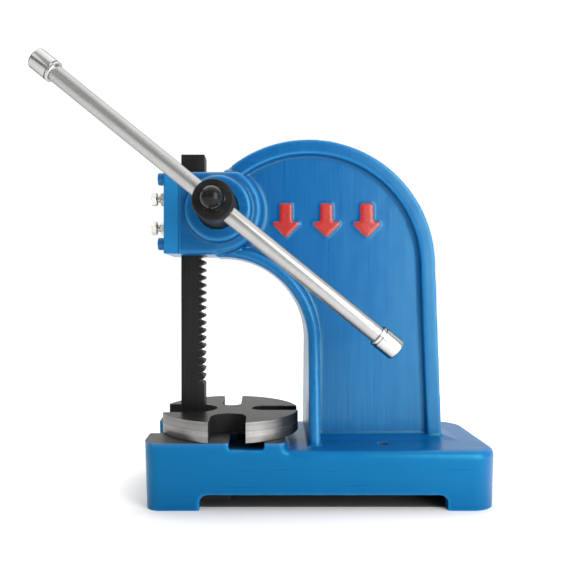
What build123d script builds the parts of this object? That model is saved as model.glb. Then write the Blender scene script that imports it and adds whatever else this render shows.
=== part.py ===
from build123d import *
import os
from math import acos, atan2, cos, hypot, pi, radians, sin, sqrt, tan

# Bench arbor press. Millimetres. +Z is up, +X runs from the ram towards the column, and the front is -Y.
# The origin is on the ram's axis, in the plane of the bench.

os.makedirs("parts", exist_ok=True)

RUNNING_CLEARANCE = 0.05
THREAD_CLEARANCE = 0.03
FACE_GAP = 0.1
CHAMFER = 0.8
SMALL_CHAMFER = 0.6
NEAR = 0.02
FAR = 400.0

# Ram and its rack
RAM_WIDTH = 19.05
RAM_BOTTOM = 67.0
RAM_TOP = 275.0
MODULE = 2.0
PRESSURE_ANGLE = 20.0
RACK_ADDENDUM = 1.6
DEDENDUM = 2.5
RACK_GAPS_BELOW_PINION = 22
RACK_GAPS_ABOVE_PINION = 3

# Pinion shaft
PINION_TEETH = 14
PINION_Z = 228.0
BACKLASH = 0.12
TOOTHED_HALF_LENGTH = 12.0
HUB_RADIUS = 15.0
HUB_FRONT_Y = -79.0
HUB_EDGE = 1.6
HUB_ROOT = 5.0
GROOVE_Y = -20.0
GROOVE_WIDTH = 4.5
GROOVE_RADIUS = 13.4
PITCH_RADIUS = MODULE * PINION_TEETH / 2
JOURNAL_RADIUS = PITCH_RADIUS + MODULE
PINION_X = RAM_WIDTH / 2 - RACK_ADDENDUM + PITCH_RADIUS

# Lever
BAR_RADIUS = 6.35
LEVER_Y = -64.0
LEVER_ANGLE = 39.07
LEVER_LENGTH = 337.4
LEVER_OFFSET = 1.7
CAP_RADIUS = 8.25
CAP_LENGTH = 18.0
CAP_BORE_DEPTH = 14.0
CAP_END_RADIUS = 1.5
CAP_GROOVE_FROM_RIM = 3.2
CAP_GROOVE_WIDTH = 0.8
CAP_GROOVE_DEPTH = 0.5

# Clamp stud and domed nut, M10
STUD_RADIUS = 5.0
NUT_FLATS = 17.0
NUT_HEX_HEIGHT = 8.0
NUT_DOME_RADIUS = 8.0
NUT_COLLAR = 2.0
NUT_BEVEL = (0.6, 1.0)
NUT_TURN = 55
STUD_IN_NUT = 12.0

# Base
BASE_LENGTH = 268.0
BASE_WIDTH = 108.0
BASE_CENTRE_X = 101.4
BASE_TOP = 44.5
BASE_DRAFT = 2.0
BASE_EDGE = 5.5
STEP_COVE = 4.0
BASE_WALL = 11.0
BASE_ROOF = 12.0
PAD_TOP = 50.5
PAD_END_X = 74.3
LEFT_CORNER = 11.0
RIGHT_CORNER = 20.0
SLOT_WIDTH = 42.0
SLOT_END_X = 21.0
SLOT_WALL = 9.0
HOLLOW_START_X = 32.0
CHANNEL_START_X = 31.3
CHANNEL_END_X = 58.0
CHANNEL_FLOOR = 45.5
PIVOT_BOSS_RADIUS = 22.0
FOOT_GAP_START_X = 9.5
FOOT_GAP_END_X = 195.4
FOOT_GAP_HEIGHT = 11.5
FOOT_GAP_CORNER = 6.5
BENCH_HOLE_X = 151.3
BENCH_HOLE_SPACING = 58.0
BENCH_HOLE_RADIUS = 3.3
BENCH_BOSS_RADIUS = 8.5
BENCH_BOSS_DEPTH = 24.5

# Column
ARCH_X = 94.4
ARCH_Z = 184.0
ARCH_RADIUS = 102.9
ARCH_FOOT_X = 202.5
ARCH_FOOT_Z = 46.0
THROAT_X = 24.5
THROAT_Z = 122.5
THROAT_RADIUS = 68.2
WEB_HALF = 8.5
RIM_WIDTH = 12.1
RIM_HALF = 13.0
RIM_EDGE = 2.0
RIM_COVE = 2.3
FLANGE_THICKNESS = 9.0
FLANGE_HALF_TOP = 20.0
FLANGE_HALF_FOOT = 42.0
FLANGE_START_X = 20.5
FLANGE_EDGE = 4.0
FLANGE_COVE = 4.0
FOOT_COVE = 2.5
FOOT_SLOPE_RISE = 2.6
FOOT_SLOPE_SPREAD = 11.5
COLUMN_ROOT_Z = BASE_TOP - 6

# Head
HEAD_LEFT_X = -RAM_WIDTH / 2 - 0.125
HEAD_BOTTOM = 192.3
HEAD_TOP = 258.0
HEAD_HALF = 27.0
HEAD_END_RADIUS = 34.0
HEAD_EDGE = 3.5
HEAD_COVE = 6.0
BOSS_RADIUS = 26.0
BOSS_EDGE = 2.3
BOSS_FACE_Y = 33.0

# Cover plate, gib and their screws
COVER_THICKNESS = 11.6
COVER_BOTTOM = 193.0
COVER_TOP = 257.6
COVER_EDGE = 1.6
COVER_HOLE_CLEARANCE = 0.3
GIB_POCKET_DEPTH = 3.5
GIB_THICKNESS = 3.0
GIB_WIDTH = 18.5
GIB_END_ROOM = 1.5
GIB_SLACK = 0.2
M6_RADIUS = 3.0
CAP_SCREW_HEAD_RADIUS = 5.0
CAP_SCREW_HEAD_HEIGHT = 5.0
CAP_SCREW_SOCKET_FLATS = 5.0
CAP_SCREW_SOCKET_DEPTH = 3.0
CAP_SCREW_DEPTH = 14.0
CAP_SCREW_Y = 20.0
CAP_SCREW_Z = (201.0, 252.7)
ADJUSTER_Z = (215.5, 239.6)
ADJUSTER_OUTER_X = -34.6
ADJUSTER_HEAD_HEIGHT = 4.0
ADJUSTER_HEAD_TURN = 12
LOCK_NUT_TURN = 4
M6_FLATS = 10.0
M6_BEVEL = (0.4, 0.7)
LOCK_NUT_HEIGHT = 6.0
DOG_RADIUS = 2.0
DOG_LENGTH = 4.0
DOG_GAP = 0.2
RETAINING_SCREW_BOTTOM = 193.0
RETAINING_SOCKET_FLATS = 3.0
RETAINING_SOCKET_DEPTH = 3.0

# Anvil plate
ANVIL_X = 30.3
ANVIL_RADIUS = 56.2
ANVIL_TOP = 66.5
ANVIL_CHAMFER = 0.4
PIN_RADIUS = 6.0
PIN_BOTTOM = 34.0
PIN_TOP = 58.5
# width, distance of the inner end from the plate's centre, direction in degrees
ANVIL_SLOTS = ((35.0, 11.0, 180), (28.0, 20.5, 270), (18.0, 17.5, 0), (16.0, 11.5, 90))

# Raised arrows on the web
ARROW_HEIGHT = 27.0
ARROW_HEAD_WIDTH = 24.0
ARROW_STEM_WIDTH = 9.0
ARROW_CENTRE_Z = 221.0
ARROW_XS = (76.0, 109.0, 142.0)
ARROW_RELIEF = 1.8
ARROW_CORNER = 1.0

COVER_LEFT_X = HEAD_LEFT_X - COVER_THICKNESS
ANVIL_BOTTOM = PAD_TOP + FACE_GAP
FRONT_VIEW = Plane.XZ


def save(node, solid):
    export_step(solid, f"parts/{node}.step")


def bar_along(axis, radius, start, end, x=0.0, y=0.0, z=0.0):
    """A round bar along a row axis from start to end; the other two coordinates place its centreline."""
    length = end - start
    middle = (start + end) / 2
    if axis == "X":
        return Pos(middle, y, z) * Rot(0, 90, 0) * Cylinder(radius, length)
    if axis == "Y":
        return Pos(x, middle, z) * Rot(90, 0, 0) * Cylinder(radius, length)
    return Pos(x, y, middle) * Cylinder(radius, length)


def block(x0, x1, y0, y1, z0, z1):
    return Pos((x0 + x1) / 2, (y0 + y1) / 2, (z0 + z1) / 2) * Box(x1 - x0, y1 - y0, z1 - z0)


def front_extrude(sketch, half_width):
    """Extrude a sketch drawn in X and Z to both sides of the middle plane."""
    return extrude(FRONT_VIEW * sketch, amount=half_width, both=True)


# ---------------------------------------------------------------- base

def base_plan(inset):
    plan = Pos(BASE_CENTRE_X, 0) * Rectangle(BASE_LENGTH - 2 * inset, BASE_WIDTH - 2 * inset)
    plan = fillet(plan.vertices().group_by(Axis.X)[0], LEFT_CORNER - inset * 0.5)
    return fillet(plan.vertices().group_by(Axis.X)[-1], RIGHT_CORNER - inset * 0.5)


def slot_plan():
    """The arbor slot, open at the ram's end of the base and round at the other."""
    radius = SLOT_WIDTH / 2
    round_x = SLOT_END_X - radius
    return Pos(round_x, 0) * Circle(radius) + Pos(round_x - FAR / 2, 0) * Rectangle(FAR, SLOT_WIDTH)


def base_outside():
    """The base's outer block: the machined pad stands higher, with a cove down to the rest of the top."""
    inset_at_bench = PAD_TOP * tan(radians(BASE_DRAFT))
    body = extrude(base_plan(inset_at_bench), amount=PAD_TOP, taper=-BASE_DRAFT)
    body -= block(PAD_END_X, FAR, -FAR, FAR, BASE_TOP, PAD_TOP + 1)
    step = body.edges().filter_by_position(Axis.Z, BASE_TOP - NEAR, BASE_TOP + NEAR).sort_by(Axis.X)[0]
    body = fillet(step, STEP_COVE)
    outer_edges = [
        edge for edge in body.edges().filter_by_position(Axis.Z, BASE_TOP - NEAR, BASE_TOP + NEAR)
        if edge.center().X > PAD_END_X + STEP_COVE + 1
    ]
    return fillet(outer_edges, BASE_EDGE)


def foot_gaps():
    """Openings under both long walls, which leave a foot at each end and spare the middle of the base."""
    opening = Pos((FOOT_GAP_START_X + FOOT_GAP_END_X) / 2, 0) * Rectangle(
        FOOT_GAP_END_X - FOOT_GAP_START_X, 2 * FOOT_GAP_HEIGHT
    )
    opening = fillet(opening.vertices().group_by(Axis.Y)[-1], FOOT_GAP_CORNER)
    through = front_extrude(opening, BASE_WIDTH)
    half = SLOT_WIDTH / 2 + SLOT_WALL
    return through - block(-FAR, HOLLOW_START_X, -half, half, -1, FOOT_GAP_HEIGHT + 1)


def base():
    body = base_outside()
    hollow = extrude(base_plan(BASE_WALL), amount=BASE_TOP - BASE_ROOF)
    hollow -= block(-FAR, HOLLOW_START_X, -FAR, FAR, -1, BASE_TOP)
    for side in (-1, 1):
        hollow -= bar_along(
            "Z", BENCH_BOSS_RADIUS, BASE_TOP - BENCH_BOSS_DEPTH, BASE_TOP,
            x=BENCH_HOLE_X, y=side * BENCH_HOLE_SPACING / 2,
        )
    body -= hollow
    body -= foot_gaps()
    body -= extrude(slot_plan(), amount=PAD_TOP + 1)
    channel = block(CHANNEL_START_X, CHANNEL_END_X, -FAR, FAR, CHANNEL_FLOOR, PAD_TOP + 1)
    channel -= bar_along("Z", PIVOT_BOSS_RADIUS, CHANNEL_FLOOR - 1, PAD_TOP + 2, x=ANVIL_X)
    return body - channel


# ---------------------------------------------------------------- column

def arch_plan(inset):
    """Outer outline of the column: a round top that runs smoothly into a slightly spreading back edge."""
    foot_x = ARCH_FOOT_X - ARCH_X
    foot_z = ARCH_Z - ARCH_FOOT_Z
    lean = acos(ARCH_RADIUS / hypot(foot_x, foot_z)) - atan2(foot_z, foot_x)
    radius = ARCH_RADIUS - inset
    touch_x = ARCH_X + radius * cos(lean)
    touch_z = ARCH_Z + radius * sin(lean)
    leg = Polyline(
        (ARCH_X, ARCH_Z),
        (touch_x, touch_z),
        (touch_x + (touch_z - COLUMN_ROOT_Z) * tan(lean), COLUMN_ROOT_Z),
        (THROAT_X, COLUMN_ROOT_Z),
        (THROAT_X, ARCH_Z),
        close=True,
    )
    return Pos(ARCH_X, ARCH_Z) * Circle(radius) + make_face(leg)


def throat_plan(grow):
    """The open work space: a quarter round under the head that runs into a straight drop."""
    radius = THROAT_RADIUS + grow
    right_x = THROAT_X + radius
    drop = Pos(right_x - FAR / 2, THROAT_Z / 2) * Rectangle(FAR, THROAT_Z)
    under_head = Pos(THROAT_X - FAR / 2, THROAT_Z) * Rectangle(FAR, 2 * radius)
    return Pos(THROAT_X, THROAT_Z) * Circle(radius) + drop + under_head


def right_of(x):
    return Pos(x + FAR / 2, 0) * Rectangle(FAR, 2 * FAR)


def web_plan():
    return (arch_plan(0) - throat_plan(0)) & right_of(PINION_X)


def rim():
    band = (arch_plan(0) - arch_plan(RIM_WIDTH)) & right_of(PINION_X + 10)
    body = front_extrude(band - throat_plan(0), RIM_HALF)
    long_edges = [
        edge for edge in body.edges()
        if abs(abs(edge.center().Y) - RIM_HALF) < NEAR and edge.length > 3 * RIM_WIDTH
    ]
    return fillet(long_edges, RIM_EDGE)


def throat_flange():
    """The thick inner edge of the column, which widens steadily from the head down to the base."""
    band = (throat_plan(FLANGE_THICKNESS) - throat_plan(0)) & right_of(FLANGE_START_X)
    band -= Pos(BASE_CENTRE_X, 0) * Rectangle(2 * FAR, 2 * COLUMN_ROOT_Z)
    body = front_extrude(band, FLANGE_HALF_FOOT + FLANGE_EDGE)
    slope = (FLANGE_HALF_FOOT - FLANGE_HALF_TOP) / (HEAD_BOTTOM - BASE_TOP)
    overrun = PAD_TOP - COLUMN_ROOT_Z
    foot_half = FLANGE_HALF_FOOT + slope * overrun
    top_half = FLANGE_HALF_TOP - slope * overrun
    side = Polyline(
        (-foot_half, BASE_TOP - overrun),
        (foot_half, BASE_TOP - overrun),
        (top_half, HEAD_BOTTOM + overrun),
        (-top_half, HEAD_BOTTOM + overrun),
        close=True,
    )
    body &= extrude(Plane.YZ * make_face(side), amount=FAR)
    long_edges = [
        edge for edge in body.edges()
        if abs(edge.center().Y) > FLANGE_HALF_TOP - FLANGE_EDGE and edge.length > FLANGE_HALF_FOOT
    ]
    return fillet(long_edges, FLANGE_EDGE)


def ends_at_height(edge, axis_value, height):
    """Whether both ends of an edge lie at a height, where axis_value picks the coordinate."""
    ends = [axis_value(vertex) for vertex in edge.vertices()]
    return bool(ends) and all(abs(value - height) < NEAR for value in ends)


def edges_on_web(body):
    return [
        edge for edge in body.edges()
        if ends_at_height(edge, lambda v: abs(v.Y), WEB_HALF) and edge.center().Z > BASE_TOP
    ]


def column():
    """Web, rim and throat flange, with the moulder's coves where the web meets the other two."""
    body = front_extrude(web_plan(), WEB_HALF) + rim() + throat_flange()
    rim_length = ARCH_RADIUS + FLANGE_HALF_FOOT
    rim_edges = [edge for edge in edges_on_web(body) if edge.length > rim_length]
    body = fillet(rim_edges, RIM_COVE)
    flange_edges = [edge for edge in edges_on_web(body) if THROAT_RADIUS < edge.length < rim_length]
    return fillet(flange_edges, FLANGE_COVE)


def foot_slope():
    """The shallow slope by which the base's top rises to the web on both sides and behind the rim."""
    left_x = THROAT_X + THROAT_RADIUS + FLANGE_THICKNESS / 2
    low = BASE_TOP
    high = BASE_TOP + FOOT_SLOPE_RISE
    spread = WEB_HALF + FOOT_SLOPE_SPREAD
    across = Polyline(
        (-spread, COLUMN_ROOT_Z), (spread, COLUMN_ROOT_Z), (spread, low), (WEB_HALF, high), (-WEB_HALF, high),
        (-spread, low), close=True,
    )
    along = Polyline(
        (left_x, COLUMN_ROOT_Z), (ARCH_FOOT_X + FOOT_SLOPE_SPREAD, COLUMN_ROOT_Z),
        (ARCH_FOOT_X + FOOT_SLOPE_SPREAD, low), (ARCH_FOOT_X, high), (left_x, high), close=True,
    )
    ridge = Pos(left_x, 0, 0) * extrude(Plane.YZ * make_face(across), amount=FAR)
    return ridge & front_extrude(make_face(along), FAR)


def column_on_base():
    """The column standing on the base, with a cove all round its foot."""
    body = base() + column()
    foot = [
        edge for edge in body.edges()
        if ends_at_height(edge, lambda v: v.Z, BASE_TOP)
        and THROAT_X + THROAT_RADIUS - NEAR < edge.center().X < ARCH_FOOT_X + 1
        and abs(edge.center().Y) < FLANGE_HALF_FOOT + 1
    ]
    return fillet(foot, FOOT_COVE) + foot_slope()


# ---------------------------------------------------------------- head

def head():
    outline = Pos(PINION_X, PINION_Z) * Circle(HEAD_END_RADIUS)
    outline += Pos((HEAD_LEFT_X + PINION_X) / 2, (HEAD_BOTTOM + HEAD_TOP) / 2) * Rectangle(
        PINION_X - HEAD_LEFT_X, HEAD_TOP - HEAD_BOTTOM
    )
    outline &= Pos(HEAD_LEFT_X + FAR / 2, (HEAD_BOTTOM + HEAD_TOP) / 2) * Rectangle(
        FAR, HEAD_TOP - HEAD_BOTTOM
    )
    body = front_extrude(outline, HEAD_HALF)
    side_edges = [
        edge for edge in body.edges()
        if abs(abs(edge.center().Y) - HEAD_HALF) < NEAR and edge.center().X > HEAD_LEFT_X + NEAR
    ]
    return fillet(side_edges, HEAD_EDGE)


def head_cove():
    """The ring-shaped cove by which the head's round end runs into the web on both sides."""
    outer = HEAD_END_RADIUS + HEAD_COVE
    top = WEB_HALF + HEAD_COVE
    corner = Polyline((0, 0), (outer, 0), (outer, WEB_HALF), (outer, top), (0, top), close=True)
    profile = make_face(corner) - Pos(outer, top) * Circle(HEAD_COVE)
    ring = revolve(Plane.XY * profile, Axis.Y)
    ring += mirror(ring, about=Plane.XZ)
    ring = Pos(PINION_X, 0, PINION_Z) * ring
    return ring & front_extrude(web_plan(), HEAD_HALF)


def boss():
    body = bar_along("Y", BOSS_RADIUS, -BOSS_FACE_Y, BOSS_FACE_Y, x=PINION_X, z=PINION_Z)
    return fillet(body.edges().filter_by(GeomType.CIRCLE), BOSS_EDGE)


def head_holes():
    channel_half = RAM_WIDTH / 2 + RUNNING_CLEARANCE
    cut = block(HEAD_LEFT_X - 1, channel_half, -channel_half, channel_half, HEAD_BOTTOM - 1, HEAD_TOP + 1)
    cut += bar_along(
        "Y", JOURNAL_RADIUS + RUNNING_CLEARANCE, -BOSS_FACE_Y - 1, BOSS_FACE_Y + 1,
        x=PINION_X, z=PINION_Z,
    )
    cut += bar_along(
        "Z", M6_RADIUS + THREAD_CLEARANCE, HEAD_BOTTOM - 1, PINION_Z - GROOVE_RADIUS,
        x=PINION_X, y=GROOVE_Y,
    )
    for y, z in cap_screw_places():
        cut += bar_along(
            "X", M6_RADIUS + THREAD_CLEARANCE, HEAD_LEFT_X - 1, HEAD_LEFT_X + CAP_SCREW_DEPTH + 1,
            y=y, z=z,
        )
    return cut


def arrow_sketch():
    tip_z = -ARROW_HEIGHT / 2
    shoulder_z = tip_z + ARROW_HEAD_WIDTH / 2
    stem = ARROW_STEM_WIDTH / 2
    wing = ARROW_HEAD_WIDTH / 2
    outline = Polyline(
        (0, tip_z),
        (wing, shoulder_z),
        (stem, shoulder_z),
        (stem, -tip_z),
        (-stem, -tip_z),
        (-stem, shoulder_z),
        (-wing, shoulder_z),
        close=True,
    )
    arrow = make_face(outline)
    return fillet(arrow.vertices(), ARROW_CORNER)


def arrows():
    solids = []
    for x in ARROW_XS:
        placed = FRONT_VIEW * Pos(x, ARROW_CENTRE_Z) * arrow_sketch()
        solids.append(extrude(placed, amount=WEB_HALF + ARROW_RELIEF))
    return solids


def frame_casting():
    body = column_on_base() + head() + head_cove() + boss()
    for arrow in arrows():
        body += arrow
    body -= head_holes()
    body -= bar_along("Z", PIN_RADIUS, PIN_BOTTOM, PAD_TOP + 1, x=ANVIL_X)
    for side in (-1, 1):
        body -= bar_along(
            "Z", BENCH_HOLE_RADIUS, 0, PAD_TOP, x=BENCH_HOLE_X, y=side * BENCH_HOLE_SPACING / 2
        )
    return body


# ---------------------------------------------------------------- anvil plate

def anvil_plate():
    body = bar_along("Z", ANVIL_RADIUS, ANVIL_BOTTOM, ANVIL_TOP, x=ANVIL_X)
    for width, inner_end, direction in ANVIL_SLOTS:
        half = width / 2
        opening = Pos(inner_end + half, 0) * Circle(half)
        opening += Pos(inner_end + half + ANVIL_RADIUS / 2, 0) * Rectangle(ANVIL_RADIUS, width)
        placed = Pos(ANVIL_X, 0, ANVIL_BOTTOM - 1) * Rot(0, 0, direction) * opening
        body -= extrude(placed, amount=ANVIL_TOP - ANVIL_BOTTOM + 2)
    body = chamfer(body.faces().sort_by(Axis.Z)[-1].edges(), ANVIL_CHAMFER)
    body = chamfer(body.faces().sort_by(Axis.Z)[0].edges(), ANVIL_CHAMFER)
    return body - bar_along(
        "Z", PIN_RADIUS + RUNNING_CLEARANCE, ANVIL_BOTTOM - 1, PIN_TOP + 1, x=ANVIL_X
    )


def anvil_pivot_pin():
    pin = bar_along("Z", PIN_RADIUS, PIN_BOTTOM, PIN_TOP, x=ANVIL_X)
    return chamfer(pin.edges().filter_by(GeomType.CIRCLE), CHAMFER)


# ---------------------------------------------------------------- ram and pinion

def rack_gap():
    """One tooth gap of the rack, drawn in X and Z with its middle at height 0."""
    face_x = RAM_WIDTH / 2
    pitch_x = face_x - RACK_ADDENDUM
    slope = tan(radians(PRESSURE_ANGLE))
    half_at_pitch = pi * MODULE / 4
    half_outside = half_at_pitch + (RACK_ADDENDUM + 1) * slope
    half_root = half_at_pitch - DEDENDUM * slope
    outline = Polyline(
        (face_x + 1, half_outside),
        (pitch_x - DEDENDUM, half_root),
        (pitch_x - DEDENDUM, -half_root),
        (face_x + 1, -half_outside),
        close=True,
    )
    return front_extrude(make_face(outline), RAM_WIDTH)


def ram():
    body = block(-RAM_WIDTH / 2, RAM_WIDTH / 2, -RAM_WIDTH / 2, RAM_WIDTH / 2, RAM_BOTTOM, RAM_TOP)
    body = chamfer(body.edges(), SMALL_CHAMFER)
    gap = rack_gap()
    pitch = pi * MODULE
    for step in range(-RACK_GAPS_BELOW_PINION, RACK_GAPS_ABOVE_PINION + 1):
        body -= Pos(0, 0, PINION_Z + step * pitch) * gap
    return body


def involute(angle):
    return tan(angle) - angle


def half_gap_angle(radius):
    """Half the angle between two pinion teeth at a radius, never less than on the base circle."""
    base_radius = PITCH_RADIUS * cos(radians(PRESSURE_ANGLE))
    tooth_thickness = pi * MODULE / 2 - BACKLASH
    flank = acos(min(1.0, base_radius / max(radius, base_radius)))
    half_tooth = tooth_thickness / (2 * PITCH_RADIUS) + involute(radians(PRESSURE_ANGLE)) - involute(flank)
    return pi / PINION_TEETH - half_tooth


def pinion_gap():
    """One gap between pinion teeth, pointing along +X in the front view."""
    base_radius = PITCH_RADIUS * cos(radians(PRESSURE_ANGLE))
    root_radius = PITCH_RADIUS - DEDENDUM
    outside = JOURNAL_RADIUS + 1
    steps = 6
    radii = [root_radius] + [base_radius + (outside - base_radius) * i / steps for i in range(steps + 1)]
    upper = [(r * cos(half_gap_angle(r)), r * sin(half_gap_angle(r))) for r in radii]
    lower = [(x, -z) for x, z in reversed(upper)]
    return front_extrude(make_face(Polyline(*upper, *lower, close=True)), TOOTHED_HALF_LENGTH)


def pinion_shaft():
    body = bar_along("Y", JOURNAL_RADIUS, -BOSS_FACE_Y, BOSS_FACE_Y, x=PINION_X, z=PINION_Z)
    body = chamfer(body.edges().filter_by(GeomType.CIRCLE), CHAMFER)
    hub = bar_along("Y", HUB_RADIUS, HUB_FRONT_Y, -BOSS_FACE_Y + HUB_ROOT, x=PINION_X, z=PINION_Z)
    hub = fillet(hub.edges().filter_by(GeomType.CIRCLE).sort_by(Axis.Y)[0], HUB_EDGE)
    body += hub
    gap = pinion_gap()
    first_gap = 180 + 180 / PINION_TEETH
    for tooth in range(PINION_TEETH):
        turn = first_gap + tooth * 360 / PINION_TEETH
        body -= Pos(PINION_X, 0, PINION_Z) * Rot(0, turn, 0) * gap
    groove = bar_along(
        "Y", JOURNAL_RADIUS + 1, GROOVE_Y - GROOVE_WIDTH / 2, GROOVE_Y + GROOVE_WIDTH / 2,
        x=PINION_X, z=PINION_Z,
    )
    groove -= bar_along(
        "Y", GROOVE_RADIUS, GROOVE_Y - GROOVE_WIDTH, GROOVE_Y + GROOVE_WIDTH, x=PINION_X, z=PINION_Z
    )
    body -= groove
    body -= lever_frame() * Cylinder(BAR_RADIUS + RUNNING_CLEARANCE, 4 * HUB_RADIUS)
    return body - bar_along(
        "Y", STUD_RADIUS + RUNNING_CLEARANCE, HUB_FRONT_Y - 1, LEVER_Y, x=PINION_X, z=PINION_Z
    )


def pinion_retaining_screw():
    tip_z = PINION_Z - GROOVE_RADIUS - DOG_GAP
    body = bar_along(
        "Z", M6_RADIUS, RETAINING_SCREW_BOTTOM, tip_z - DOG_LENGTH, x=PINION_X, y=GROOVE_Y
    )
    body = chamfer(body.edges().filter_by(GeomType.CIRCLE), SMALL_CHAMFER)
    body += bar_along("Z", DOG_RADIUS, tip_z - DOG_LENGTH - 1, tip_z, x=PINION_X, y=GROOVE_Y)
    hexagon = RegularPolygon(RETAINING_SOCKET_FLATS / 2, 6, major_radius=False)
    return body - extrude(
        Pos(PINION_X, GROOVE_Y, RETAINING_SCREW_BOTTOM) * hexagon, amount=RETAINING_SOCKET_DEPTH
    )


# ---------------------------------------------------------------- lever and clamp

def lever_frame():
    """Local Z runs along the bar, down to the right; the local origin is on the pinion's axis."""
    return Pos(PINION_X, LEVER_Y, PINION_Z) * Rot(0, 90 + LEVER_ANGLE, 0)


def lever_bar():
    length = LEVER_LENGTH - 2 * (CAP_LENGTH - CAP_BORE_DEPTH)
    bar = Cylinder(BAR_RADIUS, length)
    bar = chamfer(bar.edges().filter_by(GeomType.CIRCLE), CHAMFER)
    return lever_frame() * Pos(0, 0, LEVER_OFFSET) * bar


def lever_cap(side):
    cap = Cylinder(CAP_RADIUS, CAP_LENGTH)
    rims = cap.edges().filter_by(GeomType.CIRCLE).sort_by(Axis.Z)
    cap = fillet(rims[-1], CAP_END_RADIUS)
    cap = chamfer(cap.edges().filter_by(GeomType.CIRCLE).sort_by(Axis.Z)[0], SMALL_CHAMFER)
    groove = Cylinder(CAP_RADIUS + 1, CAP_GROOVE_WIDTH)
    groove -= Cylinder(CAP_RADIUS - CAP_GROOVE_DEPTH, CAP_GROOVE_WIDTH)
    cap -= Pos(0, 0, CAP_GROOVE_FROM_RIM - CAP_LENGTH / 2) * groove
    bore_middle = -CAP_LENGTH / 2 + CAP_BORE_DEPTH / 2
    cap -= Pos(0, 0, bore_middle) * Cylinder(BAR_RADIUS, CAP_BORE_DEPTH)
    turn = 0 if side > 0 else 180
    middle = LEVER_OFFSET + side * (LEVER_LENGTH - CAP_LENGTH) / 2
    return lever_frame() * Pos(0, 0, middle) * Rot(turn, 0, 0) * cap


def clamp_nut():
    """Domed cap nut, drawn upwards along Z from its seat and then laid along -Y."""
    body = extrude(RegularPolygon(NUT_FLATS / 2, 6, major_radius=False), amount=NUT_HEX_HEIGHT)
    bevel = Pos(0, 0, NUT_HEX_HEIGHT / 2) * Cylinder(NUT_FLATS / sqrt(3) - FACE_GAP, NUT_HEX_HEIGHT)
    body &= chamfer(bevel.edges().filter_by(GeomType.CIRCLE), length=NUT_BEVEL[0], length2=NUT_BEVEL[1])
    body += Pos(0, 0, NUT_HEX_HEIGHT) * Cylinder(
        NUT_DOME_RADIUS, NUT_COLLAR, align=(Align.CENTER, Align.CENTER, Align.MIN)
    )
    body += Pos(0, 0, NUT_HEX_HEIGHT + NUT_COLLAR) * Sphere(NUT_DOME_RADIUS)
    body -= bar_along("Z", STUD_RADIUS, -1, STUD_IN_NUT + 1)
    return Pos(PINION_X, HUB_FRONT_Y - FACE_GAP, PINION_Z) * Rot(90, 0, 0) * Rot(0, 0, NUT_TURN) * body


def clamp_stud():
    tip_y = LEVER_Y - BAR_RADIUS - FACE_GAP
    end_y = HUB_FRONT_Y - FACE_GAP - STUD_IN_NUT
    stud = bar_along("Y", STUD_RADIUS, end_y, tip_y, x=PINION_X, z=PINION_Z)
    return chamfer(stud.edges().filter_by(GeomType.CIRCLE), CHAMFER)


# ---------------------------------------------------------------- cover plate, gib and screws

def cap_screw_places():
    return [(y, z) for z in CAP_SCREW_Z for y in (-CAP_SCREW_Y, CAP_SCREW_Y)]


def cover_plate():
    plate = block(COVER_LEFT_X, HEAD_LEFT_X, -HEAD_HALF, HEAD_HALF, COVER_BOTTOM, COVER_TOP)
    outer_face = plate.faces().sort_by(Axis.X)[0]
    plate = fillet(outer_face.edges(), COVER_EDGE)
    pocket_half = GIB_WIDTH / 2 + FACE_GAP
    plate -= block(
        HEAD_LEFT_X - GIB_POCKET_DEPTH, HEAD_LEFT_X + 1, -pocket_half, pocket_half,
        COVER_BOTTOM + GIB_END_ROOM, COVER_TOP - GIB_END_ROOM,
    )
    for y, z in cap_screw_places():
        plate -= bar_along(
            "X", M6_RADIUS + COVER_HOLE_CLEARANCE, COVER_LEFT_X - 1, HEAD_LEFT_X + 1, y=y, z=z
        )
    for z in ADJUSTER_Z:
        plate -= bar_along("X", M6_RADIUS + THREAD_CLEARANCE, COVER_LEFT_X - 1, HEAD_LEFT_X + 1, z=z)
    return plate


def gib_strip():
    inner_x = -RAM_WIDTH / 2 - RUNNING_CLEARANCE
    half = GIB_WIDTH / 2
    end_room = GIB_END_ROOM + GIB_SLACK
    strip = block(
        inner_x - GIB_THICKNESS, inner_x, -half, half, COVER_BOTTOM + end_room, COVER_TOP - end_room
    )
    return chamfer(strip.edges().filter_by(Axis.Y), SMALL_CHAMFER)


def cover_screw(y, z):
    head_end = COVER_LEFT_X - CAP_SCREW_HEAD_HEIGHT
    head_body = bar_along("X", CAP_SCREW_HEAD_RADIUS, head_end, COVER_LEFT_X)
    head_body = fillet(head_body.edges().filter_by(GeomType.CIRCLE).sort_by(Axis.X)[0], CHAMFER)
    socket = Plane.YZ.offset(head_end) * RegularPolygon(CAP_SCREW_SOCKET_FLATS / 2, 6, major_radius=False)
    head_body -= extrude(socket, amount=CAP_SCREW_SOCKET_DEPTH)
    shank = bar_along("X", M6_RADIUS, COVER_LEFT_X, HEAD_LEFT_X + CAP_SCREW_DEPTH)
    shank = chamfer(shank.edges().filter_by(GeomType.CIRCLE).sort_by(Axis.X)[-1], SMALL_CHAMFER)
    return Pos(0, y, z) * (head_body + shank)


def hexagon_bar(start_x, end_x, turn):
    """A hexagon across flats of the M6 size, along X, with its outer corners bevelled."""
    length = end_x - start_x
    hexagon = extrude(Rot(0, 0, turn) * RegularPolygon(M6_FLATS / 2, 6, major_radius=False), amount=length)
    bevel = Pos(0, 0, length / 2) * Cylinder(M6_FLATS / sqrt(3), length)
    hexagon &= chamfer(bevel.edges().filter_by(GeomType.CIRCLE), length=M6_BEVEL[0], length2=M6_BEVEL[1])
    return Pos(start_x, 0, 0) * Rot(0, 90, 0) * hexagon


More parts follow.
